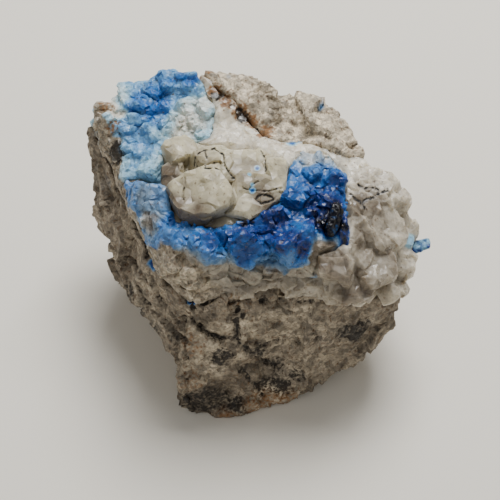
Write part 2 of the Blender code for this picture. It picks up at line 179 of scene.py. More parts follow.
# How dark the surface is with manganese and iron oxides.
DARK_PATCHES = [
    Patch(222, 98, 0.45, 0.9), Patch(232, 106, 0.4, 0.8), Patch(246, 119, 0.4, 0.8),
    Patch(259, 130, 0.4, 0.8), Patch(117, 151, 1.15, 1.0), Patch(121, 158, 0.9, 0.9),
    Patch(356, 332, 1.4, 1.0), Patch(346, 330, 1.4, 0.60), Patch(364, 326, 1.2, 0.55),
    Patch(262, 300, 0.5, 0.9), Patch(205, 400, 2.6, 0.62), Patch(194, 404, 2.0, 0.56),
    Patch(222, 356, 1.3, 0.66), Patch(236, 404, 1.4, 0.60), Patch(242, 315, 0.4, 0.9),
    Patch(258, 352, 1.2, 0.55), Patch(280, 384, 1.6, 0.72), Patch(262, 384, 1.0, 0.60),
    Patch(298, 374, 1.0, 0.55), Patch(278, 366, 1.2, 0.45), Patch(130, 292, 1.2, 0.50),
    Patch(160, 328, 1.3, 0.50), Patch(176, 338, 1.0, 0.50), Patch(142, 308, 1.4, 0.42),
    Patch(205, 73, 0.5, 0.7), Patch(216, 97, 0.6, 0.9), Patch(239, 112, 0.55, 0.8),
    Patch(243, 118, 0.6, 0.85), Patch(252, 125, 0.45, 0.7), Patch(265, 136, 0.4, 0.8),
    Patch(244, 222, 0.5, 0.9), Patch(254, 221, 0.45, 0.9), Patch(238, 219, 0.35, 0.7),
    Patch(213, 164, 0.4, 0.8),
]
# Cracks in the rock, and fine dark threads on the cream crystals and on the vein.
ROCK_CRACKS = [
    Line([(184, 318), (186, 346), (188, 360), (186, 380), (186, 400), (181, 418)], 0.30, 0.5),
    Line([(190, 318), (202, 328), (218, 338), (238, 340), (246, 350)], 0.30, 0.7),
    Line([(238, 308), (236, 322), (238, 336), (248, 352), (264, 360), (276, 366)], 0.34, 0.85),
    Line([(202, 304), (210, 300), (218, 295)], 0.34, 0.95), Line([(187, 300), (194, 308)], 0.40, 0.95),
    Line([(228, 304), (244, 298), (262, 301), (278, 300), (300, 303), (322, 300)], 0.34, 0.5),
    Line([(262, 346), (280, 340), (300, 344), (318, 338)], 0.30, 0.5),
    Line([(133, 200), (137, 222), (142, 240), (148, 256)], 0.34, 0.8),
    Line([(120, 262), (134, 284), (150, 306), (168, 326), (184, 340)], 0.40, 0.6),
    Line([(133, 258), (146, 280), (162, 302), (178, 322)], 0.34, 0.45),
    Line([(110, 170), (116, 190), (121, 212)], 0.30, 0.5),
    Line([(240, 372), (256, 384), (262, 396)], 0.34, 0.8),
]
CRYSTAL_THREADS = [
    Line([(194, 166), (194, 160), (198, 154), (205, 150), (215, 148), (223, 154)], 0.15, 0.95),
    Line([(194, 160), (196, 166), (205, 168), (216, 168), (233, 178)], 0.14, 0.85),
    Line([(189, 169), (185, 178), (183, 196), (188, 215)], 0.13, 0.45),
    Line([(205, 150), (207, 158), (205, 168)], 0.13, 0.85),
    Line([(223, 154), (225, 166), (234, 178)], 0.13, 0.7),
    Line([(261, 150), (265, 160), (266, 170)], 0.14, 0.9),
    Line([(250, 190), (253, 184), (258, 181)], 0.14, 0.95),
    Line([(234, 178), (244, 188), (252, 191), (268, 191), (282, 188)], 0.12, 0.45),
    Line(
        [(256, 199), (259, 196), (266, 195), (272, 197), (273, 199), (268, 202), (261, 203), (256, 199)],
        0.15,
        1.0,
    ),
    Line([(238, 219), (246, 222), (255, 220), (263, 215)], 0.19, 1.0),
    Line([(182, 168), (190, 158)], 0.13, 0.6),
]
VEIN_THREADS = [
    Line(
        [(350, 194), (356, 199), (362, 203), (368, 199), (374, 197), (380, 193), (387, 190)],
        0.22,
        0.95,
    ),
    Line([(358, 185), (364, 188), (371, 187), (378, 189)], 0.18, 0.8),
    Line([(362, 203), (365, 207)], 0.2, 0.8),
]
# How strongly rust and ochre stain the surface.
RUST_PATCHES = [
    Patch(207, 76, 1.0, 0.95), Patch(215, 92, 1.0, 0.95), Patch(226, 102, 1.0, 0.95),
    Patch(240, 112, 1.0, 0.95), Patch(252, 122, 1.0, 0.95), Patch(265, 134, 1.0, 0.95),
    Patch(277, 146, 0.75, 0.55), Patch(106, 108, 1.2, 0.5), Patch(112, 126, 0.9, 0.7),
    Patch(266, 398, 2.0, 0.62), Patch(284, 395, 1.6, 0.60), Patch(250, 402, 1.4, 0.55),
    Patch(226, 412, 1.4, 0.6), Patch(190, 342, 1.6, 0.4), Patch(190, 380, 1.6, 0.4),
    Patch(236, 300, 1.4, 0.3),
]
# How light the rock is painted, partly its own tone and partly painted light on the lit top and painted
# shade on the front and left faces: 0 is dark grey-brown, 1 is pale beige.
ROCK_TONE_AND_PAINTED_LIGHT = [
    Patch(268, 397, 2.2, 1.1), Patch(225, 82, 4.0, 0.85), Patch(262, 100, 4.5, 0.92),
    Patch(300, 118, 5.0, 0.88), Patch(340, 140, 5.0, 1.10), Patch(372, 168, 4.0, 1.20),
    Patch(340, 108, 4.0, 0.80), Patch(280, 84, 3.0, 0.75), Patch(200, 286, 2.6, 0.72),
    Patch(190, 264, 2.6, 0.74), Patch(172, 256, 2.0, 0.62), Patch(247, 322, 2.6, 0.66),
    Patch(300, 318, 4.0, 0.54), Patch(330, 300, 3.0, 0.52), Patch(214, 372, 1.3, 0.66),
    Patch(300, 360, 3.0, 0.44), Patch(240, 356, 0.8, 0.75), Patch(200, 400, 3.0, 0.20),
    Patch(120, 190, 4.0, 0.40), Patch(136, 210, 1.6, 0.58), Patch(150, 294, 3.4, 0.50),
    Patch(302, 358, 0.9, 0.75), Patch(216, 340, 2.4, 0.66), Patch(200, 366, 2.6, 0.60),
    Patch(104, 140, 1.6, 0.56),
]
# Where the rim of the vein and the crusts passes into host rock.
STONE_PATCHES = [
    Patch(96, 112, 1.6, 1.0), Patch(101, 130, 1.7, 1.0), Patch(110, 150, 1.8, 1.0),
    Patch(116, 168, 1.7, 1.0), Patch(121, 184, 1.6, 1.0), Patch(126, 200, 1.5, 1.0),
    Patch(133, 216, 1.6, 1.0), Patch(139, 232, 1.6, 1.0), Patch(146, 248, 1.7, 1.0),
    Patch(156, 262, 1.8, 1.0), Patch(168, 274, 1.9, 1.0), Patch(180, 288, 2.0, 1.0),
    Patch(166, 254, 1.4, 1.0), Patch(180, 268, 1.7, 1.0), Patch(192, 280, 1.9, 1.0),
    Patch(204, 292, 1.9, 1.0), Patch(194, 302, 1.6, 1.0), Patch(218, 300, 1.5, 1.0),
    Patch(236, 304, 1.3, 1.0), Patch(254, 306, 1.3, 1.0), Patch(272, 307, 1.3, 1.0),
    Patch(290, 308, 1.3, 0.9), Patch(308, 309, 1.3, 0.9), Patch(328, 310, 1.2, 0.8),
    Patch(348, 311, 1.1, 0.7), Patch(234, 92, 1.0, 0.8), Patch(257, 112, 0.9, 0.8),
    Patch(278, 132, 0.8, 0.7),
]
# How smoky and clear the quartz is.
SMOKY_PATCHES = [
    Patch(328, 254, 2.4, 0.90), Patch(345, 285, 3.5, 0.80), Patch(385, 270, 3.5, 0.68),
    Patch(395, 300, 3.5, 0.80), Patch(365, 205, 2.4, 0.80), Patch(372, 240, 2.6, 0.66),
    Patch(405, 225, 2.0, 0.45), Patch(398, 188, 2.6, 0.22), Patch(214, 280, 2.5, 0.48),
    Patch(238, 284, 2.5, 0.48), Patch(264, 286, 2.5, 0.48), Patch(292, 286, 2.5, 0.48),
    Patch(318, 284, 2.5, 0.48), Patch(250, 140, 3.5, 0.0), Patch(300, 155, 3.0, 0.0),
    Patch(345, 165, 3.0, 0.0), Patch(220, 125, 3.0, 0.0), Patch(190, 130, 2.5, 0.0),
    Patch(158, 184, 3.2, 1.0), Patch(168, 212, 2.8, 0.95), Patch(200, 222, 2.4, 0.85),
    Patch(216, 244, 2.4, 0.80), Patch(256, 256, 2.0, 0.90), Patch(265, 200, 1.8, 0.80),
    Patch(205, 158, 1.6, 0.40), Patch(275, 262, 1.6, 0.90), Patch(250, 172, 2.4, 0.65),
]


class SpecimenSizes(bpy.types.PropertyGroup):
    """How finely each mineral is modelled."""

    rock_cell: bpy.props.FloatProperty(
        name="Rock detail",
        description="Cell of the rock's fine surface",
        default=0.24 * MM,
        unit="LENGTH",
    )
    vein_cell: bpy.props.FloatProperty(
        name="Vein detail",
        description="Cell of the quartz vein's fine surface",
        default=0.19 * MM,
        unit="LENGTH",
    )
    crust_cell: bpy.props.FloatProperty(
        name="Crust detail",
        description="Cell of the blue crusts' fine surface",
        default=0.12 * MM,
        unit="LENGTH",
    )
    crystal_cell: bpy.props.FloatProperty(
        name="Crystal detail",
        description="Cell of the pale crystals' surface",
        default=0.10 * MM,
        unit="LENGTH",
    )
    overlap: bpy.props.FloatProperty(
        name="Overlap",
        description="How far each mineral grows into the narrow gap round it",
        default=0.20 * MM,
        unit="LENGTH",
    )
    crust_facets: bpy.props.FloatProperty(
        name="Crust facets", description="Share of the fine faces left on the crusts", default=0.10
    )
    quartz_facets: bpy.props.FloatProperty(
        name="Quartz facets", description="Share of the fine faces left on the quartz", default=0.06
    )
    cream_facets: bpy.props.FloatProperty(
        name="Cream facets",
        description="Share of the fine faces left on the cream crystals",
        default=0.016,
    )
    pale_grain: bpy.props.FloatProperty(
        name="Pale grain", description="Size of the pale crust's grains", default=0.8 * MM, unit="LENGTH"
    )
    deep_grain: bpy.props.FloatProperty(
        name="Deep grain", description="Size of the deep crust's grains", default=1.1 * MM, unit="LENGTH"
    )


class MineralColours(bpy.types.PropertyGroup):
    """The colours of the minerals, as a clean, evenly lit surface shows them, except the two rock colours,
    which also hold painted light and painted shade.
    """

    # Partly the rock's own darker tone, partly painted shade on the faces turned away from the overhead
    # light.
    shaded_dark_rock: bpy.props.FloatVectorProperty(
        name="Dark rock",
        description="Shaded faces of the host rock",
        subtype="COLOR",
        default=linear("#43382c"),
    )
    # Partly the rock's own pale tone, partly painted light on the top, which faces the overhead light.
    lit_pale_rock: bpy.props.FloatVectorProperty(
        name="Light rock",
        description="Fresh top of the host rock",
        subtype="COLOR",
        default=linear("#bfb29b"),
    )
    oxide: bpy.props.FloatVectorProperty(
        name="Oxide",
        description="Manganese oxide films and grains",
        subtype="COLOR",
        default=linear("#15100b"),
    )
    rust: bpy.props.FloatVectorProperty(
        name="Rust", description="Iron oxide stain", subtype="COLOR", default=linear("#86603a")
    )
    quartz: bpy.props.FloatVectorProperty(
        name="Quartz", description="Milky vein quartz", subtype="COLOR", default=linear("#d8d0be")
    )
    smoke: bpy.props.FloatVectorProperty(
        name="Smoky quartz",
        description="Clearer, greyer quartz",
        subtype="COLOR",
        default=linear("#6e6252"),
    )
    cream: bpy.props.FloatVectorProperty(
        name="Cream crystal",
        description="Large translucent crystals",
        subtype="COLOR",
        default=linear("#c7bfa3"),
    )
    sky: bpy.props.FloatVectorProperty(
        name="Sky blue", description="Thin crust over white", subtype="COLOR", default=linear("#9acde3")
    )
    slate: bpy.props.FloatVectorProperty(
        name="Slate blue",
        description="Thin crust over smoky quartz",
        subtype="COLOR",
        default=linear("#7096b8"),
    )
    azure: bpy.props.FloatVectorProperty(
        name="Azure", description="Linarite in bright light", subtype="COLOR", default=linear("#2767ac")
    )
    deep: bpy.props.FloatVectorProperty(
        name="Deep blue", description="Thicker linarite", subtype="COLOR", default=linear("#0d2c72")
    )
    navy: bpy.props.FloatVectorProperty(
        name="Dark blue",
        description="Linarite seen through its length",
        subtype="COLOR",
        default=linear("#03040f"),
    )


class StudioSettings(bpy.types.PropertyGroup):
    """The camera and the lights."""

    elevation: bpy.props.FloatProperty(
        name="Elevation",
        description="Height of the camera above the horizon",
        default=math.radians(50),
        unit="ROTATION",
    )
    distance: bpy.props.FloatProperty(
        name="Distance",
        description="From the camera to the specimen's middle",
        default=149 * MM,
        unit="LENGTH",
    )
    target: bpy.props.FloatVectorProperty(
        name="Target",
        description="Point that the camera looks at",
        subtype="XYZ",
        unit="LENGTH",
        default=(-0.81 * MM, 0.55 * MM, 11.3 * MM),
    )
    lens: bpy.props.FloatProperty(name="Lens", description="Focal length in millimetres", default=90.0)
    sensor: bpy.props.FloatProperty(
        name="Sensor", description="Sensor width in millimetres", default=36.0
    )
    key_power: bpy.props.FloatProperty(
        name="Key light", description="Power of the soft light overhead", default=1.5, unit="POWER"
    )
    fill_power: bpy.props.FloatProperty(
        name="Fill light", description="Power of the wide light in front", default=0.16, unit="POWER"
    )
    sky_strength: bpy.props.FloatProperty(
        name="Room light", description="Even light from all round", default=0.32
    )


def sizes():
    return bpy.context.scene.specimen_sizes


def colours():
    return bpy.context.scene.mineral_colours


def studio():
    return bpy.context.scene.studio_settings


# Selecting and shaping


def only(piece):
    """Leaves one object selected and active."""
    bpy.ops.object.select_all(action="DESELECT")
    piece.select_set(True)
    bpy.context.view_layer.objects.active = piece


def copy_node(node, name):
    """A new piece with a copy of a CAD node's mesh, its loose triangles merged."""
    piece = bpy.data.objects.new(name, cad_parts[node].data.copy())
    piece.data.name = name
    piece.data.materials.clear()
    bpy.context.scene.collection.objects.link(piece)
    only(piece)
    bpy.ops.object.mode_set(mode="EDIT")
    bpy.ops.mesh.select_all(action="SELECT")
    bpy.ops.mesh.remove_doubles(threshold=0.002 * MM)
    bpy.ops.object.mode_set(mode="OBJECT")
    return piece


def modify(piece, kind, **settings):
    """Adds a modifier with its settings and applies it."""
    only(piece)
    modifier = piece.modifiers.new(kind.title(), kind)
    for name, value in settings.items():
        setattr(modifier, name, value)
    bpy.ops.object.modifier_apply(modifier=modifier.name)


def grow(piece, distance):
    """Moves a surface outwards."""
    modify(piece, "DISPLACE", direction="NORMAL", mid_level=0.0, strength=distance)


def remesh(piece, cell):
    """Rebuilds a piece as one even, closed surface."""
    modify(piece, "REMESH", mode="VOXEL", voxel_size=cell, use_smooth_shade=True)


def soften(piece, times):
    """Rounds a surface a little, over and over."""
    modify(piece, "SMOOTH", factor=0.5, iterations=times)


def points_of(piece):
    flat = np.empty(len(piece.data.vertices) * 3, np.float32)
    piece.data.vertices.foreach_get("co", flat)
    return flat.reshape(-1, 3)


def normals_of(piece):
    flat = np.empty(len(piece.data.vertices) * 3, np.float32)
    piece.data.vertex_normals.foreach_get("vector", flat)
    return flat.reshape(-1, 3)


def set_points(piece, points):
    piece.data.vertices.foreach_set("co", points.astype(np.float32).ravel())
    piece.data.update()


def chip(piece, size, slope, seed):
    """Breaks a surface into flat chips of one size, each tilted its own way."""
    points = points_of(piece)
    pushes = np.empty(len(points))
    shift = Vector((seed, 2 * seed, 3 * seed))
    for index, point in enumerate(points):
        place = Vector(point) / size + shift
        centre = noise.voronoi(place)[1][0]
        tilt = noise.cell_vector(centre * TILT_SPREAD) - Vector((0.5, 0.5, 0.5))
        pushes[index] = slope * tilt.dot(place - centre)
    set_points(piece, points + normals_of(piece) * (pushes * size)[:, None])


def facet(piece, size, depth, seed):
    """Covers a surface with low pyramids that run into each other, of one size and depth."""
    points = points_of(piece)
    shift = Vector((seed, -2 * seed, seed))
    heights = []
    for point in points:
        place = Vector(point) / size
        place += FACET_BEND * noise.noise_vector(place / FACET_SWIRL) + shift
        heights.append(-noise.voronoi(place, distance_metric="MANHATTAN")[0][0])
    heights = np.array(heights)
    set_points(piece, points + normals_of(piece) * ((heights - heights.mean()) * depth)[:, None])


def roughen(piece, size, depth, seed):
    """Moves a surface in and out by smooth noise."""
    points = points_of(piece)
    shift = Vector((seed, -seed, 2 * seed))
    layers = (ROUGH_FALL, ROUGH_STEP, ROUGH_LAYERS)
    heights = [noise.fractal(Vector(point) / size + shift, *layers) for point in points]
    set_points(piece, points + normals_of(piece) * (np.array(heights) * depth)[:, None])


def break_surface(piece, chips, swells):
    """Lays chips over a surface, then smooth swells."""
    for size, slope, seed in chips:
        chip(piece, size, slope, seed)
    for size, depth, seed in swells:
        roughen(piece, size, depth, seed)


def break_flat(piece, share, depth, levels):
    """Turns a fine surface into flat facets with sharp edges, by keeping a share of its faces."""
    modify(piece, "DECIMATE", ratio=share)
    roughen(piece, FACET_SWELL, depth, seed=2)
    modify(piece, "SUBSURF", subdivision_type="SIMPLE", levels=levels)
    only(piece)
    bpy.ops.object.shade_flat()


# Places on the specimen


def view_axes():
    """The camera's right, up and forward directions."""
    rise = studio().elevation
    forward = Vector((0.0, math.cos(rise), -math.sin(rise)))
    return Vector((1.0, 0.0, 0.0)), Vector((0.0, math.sin(rise), math.cos(rise))), forward


def camera_place():
    """Where the camera stands."""
    return Vector(studio().target) - studio().distance * view_axes()[2]


def cad_surface():
    """One search tree over all CAD nodes."""
    corners, faces = [], []
    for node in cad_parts.values():
        start = len(corners)
        corners += [vert.co[:] for vert in node.data.vertices]
        faces += [[start + at for at in face.vertices] for face in node.data.polygons]
    return BVHTree.FromPolygons(corners, faces)


SURFACE = cad_surface()


def seen_place(x, y, surface=SURFACE):
    """The point of a surface that the camera sees at a point of the picture, or the one nearest to it."""
    across, up, forward = view_axes()
    pixel = studio().sensor / studio().lens / PICTURE_SIDE
    middle = PICTURE_SIDE / 2
    line = forward + (x - middle) * pixel * across - (y - middle) * pixel * up
    place, _, _, _ = surface.ray_cast(camera_place(), line.normalized())
    if place is None:
        place, _, _, _ = surface.find_nearest(camera_place() + line.normalized() * studio().distance)
    return place


def write_values(piece, attribute, values):
    """Writes one value for each point of a piece to an attribute of its mesh."""
    attributes = piece.data.attributes
    written = attributes.get(attribute) or attributes.new(attribute, "FLOAT", "POINT")
    written.data.foreach_set("value", values.astype(np.float32))


def waver(points):
    """A smooth wandering of each point, by which soft edges become uneven."""
    return np.array([noise.noise_vector(Vector(point) / WAVER_SIZE) for point in points])


def paint(piece, attribute, patches, start):
    """Writes an attribute, one value and soft patches with uneven edges, and gives its values back."""
    points = points_of(piece)
    wandering = waver(points)
    values = np.full(len(points), start, float)
    for patch in patches:
        place = np.array(seen_place(patch.x, patch.y))
        radius = patch.radius * MM
        near = np.flatnonzero(np.abs(points - place).max(axis=1) < PATCH_REACH * radius)
        strayed = points[near] + wandering[near] * radius * EDGE_WANDER
        away = np.linalg.norm(strayed - place, axis=1) / radius
        weight = np.clip(PATCH_END - away, 0, 1)
        weight = weight * weight * (3 - 2 * weight)
        values[near] += weight * (patch.value - values[near])
    write_values(piece, attribute, values)
    return values


def crack(piece, lines, dark, depth):
    """Sinks lines into a surface and darkens them: dark holds the darkness of each point so far."""
    points = points_of(piece)
    surface = BVHTree.FromPolygons(points.tolist(), [face.vertices[:] for face in piece.data.polygons])
    bent = points + waver(points) * CRACK_WANDER
    sunk = np.zeros(len(points))
    for line in lines:
        places = [np.array(seen_place(x, y, surface)) for x, y in line.points]
        width = line.width * MM
        for start, end in zip(places, places[1:]):
            along = end - start
            share = np.clip((bent - start) @ along / (along @ along), 0, 1)
            away = np.linalg.norm(bent - start - share[:, None] * along, axis=1) / width
            weight = np.clip(CRACK_END - away, 0, 1)
            sunk = np.maximum(sunk, weight)
            dark = np.maximum(dark, weight * line.dark)
    set_points(piece, points - normals_of(piece) * (sunk * depth)[:, None])
    write_values(piece, "dark", dark)


# Materials


def add_node(tree, kind, inputs=None, output=0, **settings):
    """Adds a shader node with its settings and links, and gives back one of its outputs."""
    node = tree.nodes.new("ShaderNode" + kind)
    for name, value in settings.items():
        setattr(node, name, value)
    for key, value in (inputs or {}).items():
        socket = node.inputs[key]
        if isinstance(value, bpy.types.NodeSocket):
            tree.links.new(value, socket)
        elif socket.type == "RGBA":
            socket.default_value = (*value[:3], 1.0)
        else:
            socket.default_value = value
    return node.outputs[output]


def new_material(name):
    """A material with its node tree, its shader and the piece's own coordinates."""
    made = bpy.data.materials.new(name)
    made.use_nodes = True
    tree = made.node_tree
    return made, tree, tree.nodes["Principled BSDF"], add_node(tree, "TexCoord", output="Object")


def per_mm(size):
    """The scale of a pattern whose features are so many millimetres across."""
    return 1 / (size * MM)


def fractured(tree, place, size):
    """The height of a surface broken into tilted flat facets of a size in millimetres."""
    inputs = {"Vector": place, "Scale": per_mm(size)}
    colour = add_node(tree, "TexVoronoi", inputs, "Color")
    centre = add_node(tree, "TexVoronoi", inputs, "Position")
    tilt = add_node(tree, "VectorMath", {0: colour, 1: (0.5, 0.5, 0.5)}, operation="SUBTRACT")
    offset = add_node(tree, "VectorMath", {0: place, 1: centre}, operation="SUBTRACT")
    return add_node(tree, "VectorMath", {0: tilt, 1: offset}, "Value", operation="DOT_PRODUCT")


def surface_bump(tree, shader, place, facet, facet_strength, grain, grain_height):
    """Gives a shader flat facets with a finer uneven grain over them. Sizes are in millimetres."""
    height = fractured(tree, place, facet)
    normal = add_node(tree, "Bump", {"Height": height, "Distance": 1.0, "Strength": facet_strength})
    height = add_node(tree, "TexNoise", {"Vector": place, "Scale": per_mm(grain), "Detail": 5.0})
    inputs = {"Height": height, "Distance": grain_height * MM, "Strength": 0.7, "Normal": normal}
    tree.links.new(add_node(tree, "Bump", inputs), shader.inputs["Normal"])


def blue_over(tree, place, under, thin):
    """Linarite's blues over another colour, as the blue attribute says, and one more blue where thin."""
    tone = colours()
    amount = add_node(tree, "Attribute", output="Fac", attribute_name="blue")
    fine = add_node(tree, "TexNoise", {"Vector": place, "Scale": per_mm(0.42), "Detail": 5.0})
    coarse = add_node(tree, "TexNoise", {"Vector": place, "Scale": per_mm(1.5), "Detail": 3.0})
    spread = add_node(tree, "Math", {0: fine, 1: 0.4, 2: coarse}, operation="MULTIPLY_ADD")
    spread = add_node(tree, "Math", {0: spread, 1: 0.7}, operation="SUBTRACT")
    swing = add_node(tree, "Math", {0: spread, 1: BLUE_SWING, 2: 1.0}, operation="MULTIPLY_ADD")
    stirred = add_node(tree, "Math", {0: swing, 1: amount}, operation="MULTIPLY")
    cover = add_node(tree, "MapRange", {"Value": stirred, "From Min": 0.03, "From Max": 0.46})
    blue = under
    for low, high, colour in [
        (0.05, 0.30, thin),
        (0.34, 0.62, tone.azure),
        (0.62, 0.82, tone.deep),
        (0.82, 0.98, tone.navy),
    ]:
        share = add_node(tree, "MapRange", {"Value": stirred, "From Min": low, "From Max": high})
        blue = add_node(tree, "Mix", {0: share, 6: blue, 7: colour}, 2, data_type="RGBA")
    return add_node(tree, "Mix", {0: cover, 6: under, 7: blue}, 2, data_type="RGBA")


def stained(tree, place, colour):
    """Rust and oxide films over a colour, as the rust and dark attributes say."""
    grain = add_node(tree, "TexNoise", {"Vector": place, "Scale": per_mm(0.38), "Detail": 6.0})
    inputs = {"Value": grain, "From Min": 0.3, "From Max": 0.7, "To Min": 0.4, "To Max": 1.6}
    shade = add_node(tree, "MapRange", inputs)
    shade = add_node(tree, "CombineColor", {0: shade, 1: shade, 2: shade})
    for attribute, film, low, high in [
        ("rust", colours().rust, 1.35, 1.9),
        ("dark", colours().oxide, 1.32, 1.75),
    ]:
        inputs = {0: 1.0, 6: film, 7: shade}
        film = add_node(tree, "Mix", inputs, 2, data_type="RGBA", blend_type="MULTIPLY")
        amount = add_node(tree, "Attribute", output="Fac", attribute_name=attribute)
        stirred = add_node(tree, "Math", {0: grain, 1: 2.2, 2: amount}, operation="MULTIPLY_ADD")
        inputs = {"Value": stirred, "From Min": low, "From Max": high, "To Max": 0.94}
        share = add_node(tree, "MapRange", inputs)
        colour = add_node(tree, "Mix", {0: share, 6: colour, 7: film}, 2, data_type="RGBA")
    return colour


def grained(tree, place, colour, size, low, high):
    """A colour in grains of a size in millimetres, each between low and high times as bright."""
    grain = add_node(tree, "TexVoronoi", {"Vector": place, "Scale": per_mm(size)}, "Color")
    value = add_node(tree, "SeparateColor", {"Color": grain}, "Red")
    shade = add_node(tree, "MapRange", {"Value": value, "To Min": low, "To Max": high})
    inputs = {0: 1.0, 6: colour, 7: add_node(tree, "CombineColor", {0: shade, 1: shade, 2: shade})}
    return add_node(tree, "Mix", inputs, 2, data_type="RGBA", blend_type="MULTIPLY")


def rock_colour(tree, place):
    """Sandy rock in grains of about 0.5 mm, from grey-brown to beige as its light attribute says. That
    attribute mixes the rock's own tone with painted light on the top and painted shade on the front and
    left faces.
    """
    tone = colours()
    light = add_node(tree, "Attribute", output="Fac", attribute_name="light")
    cloud = add_node(tree, "TexNoise", {"Vector": place, "Scale": per_mm(2.6), "Detail": 5.0})
    uneven = add_node(tree, "Math", {0: cloud, 1: 1.1, 2: light}, operation="MULTIPLY_ADD")
    share = add_node(tree, "MapRange", {"Value": uneven, "From Min": 0.55, "From Max": 1.55})
    base = add_node(tree, "Mix", {0: share, 6: tone.shaded_dark_rock, 7: tone.lit_pale_rock}, 2, data_type="RGBA")
    sand = grained(tree, place, base, size=0.55, low=0.60, high=1.44)
    return grained(tree, place, sand, size=0.24, low=0.70, high=1.34)


def quartz_colour(tree, place, clear):
    """Milky quartz, greyer and darker where its smoky attribute says that it is clear."""
    smoky = add_node(tree, "Attribute", output="Fac", attribute_name="smoky")
    cloud = add_node(tree, "TexNoise", {"Vector": place, "Scale": per_mm(2.0), "Detail": 4.0})
    uneven = add_node(tree, "Math", {0: cloud, 1: 0.9, 2: smoky}, operation="MULTIPLY_ADD")
    share = add_node(tree, "MapRange", {"Value": uneven, "From Min": 0.45, "From Max": 1.35})
    return add_node(tree, "Mix", {0: share, 6: clear, 7: colours().smoke}, 2, data_type="RGBA")


def with_rock_rim(tree, place, colour):
    """Host rock over a colour where the stone attribute says that the piece's rim passes into it."""
    stone = add_node(tree, "Attribute", output="Fac", attribute_name="stone")
    grain = add_node(tree, "TexNoise", {"Vector": place, "Scale": per_mm(0.8), "Detail": 4.0})
    stirred = add_node(tree, "Math", {0: grain, 1: 0.8, 2: stone}, operation="MULTIPLY_ADD")
    share = add_node(tree, "MapRange", {"Value": stirred, "From Min": 0.75, "From Max": 1.05})
    return add_node(tree, "Mix", {0: share, 6: colour, 7: rock_colour(tree, place)}, 2, data_type="RGBA")


def uneven_gloss(tree, shader, place, size, low, high):
    """Roughness that wanders between two values in spots of a size in millimetres."""
    spots = add_node(tree, "TexNoise", {"Vector": place, "Scale": per_mm(size), "Detail": 4.0})
    inputs = {"Value": spots, "From Min": 0.35, "From Max": 0.7, "To Min": low, "To Max": high}
    tree.links.new(add_node(tree, "MapRange", inputs), shader.inputs["Roughness"])


def clouded(shader, share, radius, depth):
    """Lets light sink in: the share that does, how far each colour goes, and the depth in millimetres."""
    shader.inputs["Subsurface Weight"].default_value = share
    shader.inputs["Subsurface Radius"].default_value = radius
    shader.inputs["Subsurface Scale"].default_value = depth * MM


def host_rock_material():
    """Altered, sandy host rock, freshly broken: dull, with a few glittering grains."""
    made, tree, shader, place = new_material("broken_host_rock")
    colour = blue_over(tree, place, stained(tree, place, rock_colour(tree, place)), colours().slate)
    tree.links.new(colour, shader.inputs["Base Color"])
    uneven_gloss(tree, shader, place, size=0.5, low=0.92, high=0.45)
    surface_bump(tree, shader, place, facet=0.6, facet_strength=0.6, grain=0.26, grain_height=0.13)
    shader.inputs["IOR"].default_value = 1.5
    return made


def quartz_material():
    """Milky vein quartz, broken: light sinks in a millimetre or two, and its fractures are glassy."""
    made, tree, shader, place = new_material("milky_vein_quartz")
    colour = blue_over(tree, place, quartz_colour(tree, place, colours().quartz), colours().sky)
    colour = grained(tree, place, colour, size=0.35, low=0.82, high=1.16)
    colour = stained(tree, place, with_rock_rim(tree, place, colour))
    tree.links.new(colour, shader.inputs["Base Color"])
    uneven_gloss(tree, shader, place, size=0.6, low=0.20, high=0.6)
    surface_bump(tree, shader, place, facet=0.5, facet_strength=0.30, grain=0.25, grain_height=0.05)
    clouded(shader, share=0.9, radius=(1.0, 0.93, 0.8), depth=1.6)
    shader.inputs["IOR"].default_value = 1.54
    return made


def crust_material(name, facet_size, thin):
    """Linarite grown as a glassy crust over quartz: bright and sugary where thin, dark where thick."""
    made, tree, shader, place = new_material(name)
    colour = blue_over(tree, place, quartz_colour(tree, place, colours().quartz), thin)
    colour = grained(tree, place, colour, size=0.35, low=0.82, high=1.16)
    colour = stained(tree, place, with_rock_rim(tree, place, colour))
    tree.links.new(colour, shader.inputs["Base Color"])
    uneven_gloss(tree, shader, place, size=0.45, low=0.22, high=0.55)
    surface_bump(tree, shader, place, facet_size, facet_strength=0.5, grain=0.22, grain_height=0.04)
    clouded(shader, share=0.45, radius=(0.6, 0.85, 1.0), depth=0.7)
    shader.inputs["Specular IOR Level"].default_value = 0.24
    shader.inputs["IOR"].default_value = 1.7
    return made


def cream_material():
    """Large translucent crystals, waxy to glassy: light sinks deep into them and comes out softened."""
    made, tree, shader, place = new_material("cream_crystal")
    colour = quartz_colour(tree, place, colours().cream)
    colour = stained(tree, place, grained(tree, place, colour, size=0.45, low=0.88, high=1.10))
    tree.links.new(blue_over(tree, place, colour, colours().sky), shader.inputs["Base Color"])
    uneven_gloss(tree, shader, place, size=0.9, low=0.22, high=0.6)
    surface_bump(tree, shader, place, facet=1.4, facet_strength=0.18, grain=0.5, grain_height=0.03)
    clouded(shader, share=0.8, radius=(1.0, 0.95, 0.8), depth=1.6)
    shader.inputs["Specular IOR Level"].default_value = 0.35
    shader.inputs["IOR"].default_value = 1.56
    return made


def dark_linarite_material(name, dark, light, low, high):
    """Thick linarite crystals, glassy: dark, and lighter in spots where light gets through."""
    made, tree, shader, place = new_material(name)
    spots = add_node(tree, "TexNoise", {"Vector": place, "Scale": per_mm(0.8), "Detail": 4.0})
    share = add_node(tree, "MapRange", {"Value": spots, "From Min": low, "From Max": high})
    mixed = add_node(tree, "Mix", {0: share, 6: dark, 7: light}, 2, data_type="RGBA")
    tree.links.new(mixed, shader.inputs["Base Color"])
    surface_bump(tree, shader, place, facet=0.4, facet_strength=0.7, grain=0.2, grain_height=0.05)
    shader.inputs["Roughness"].default_value = 0.3
    shader.inputs["Specular IOR Level"].default_value = 0.12
    shader.inputs["IOR"].default_value = 1.83
    return made


# Steps that the operators share


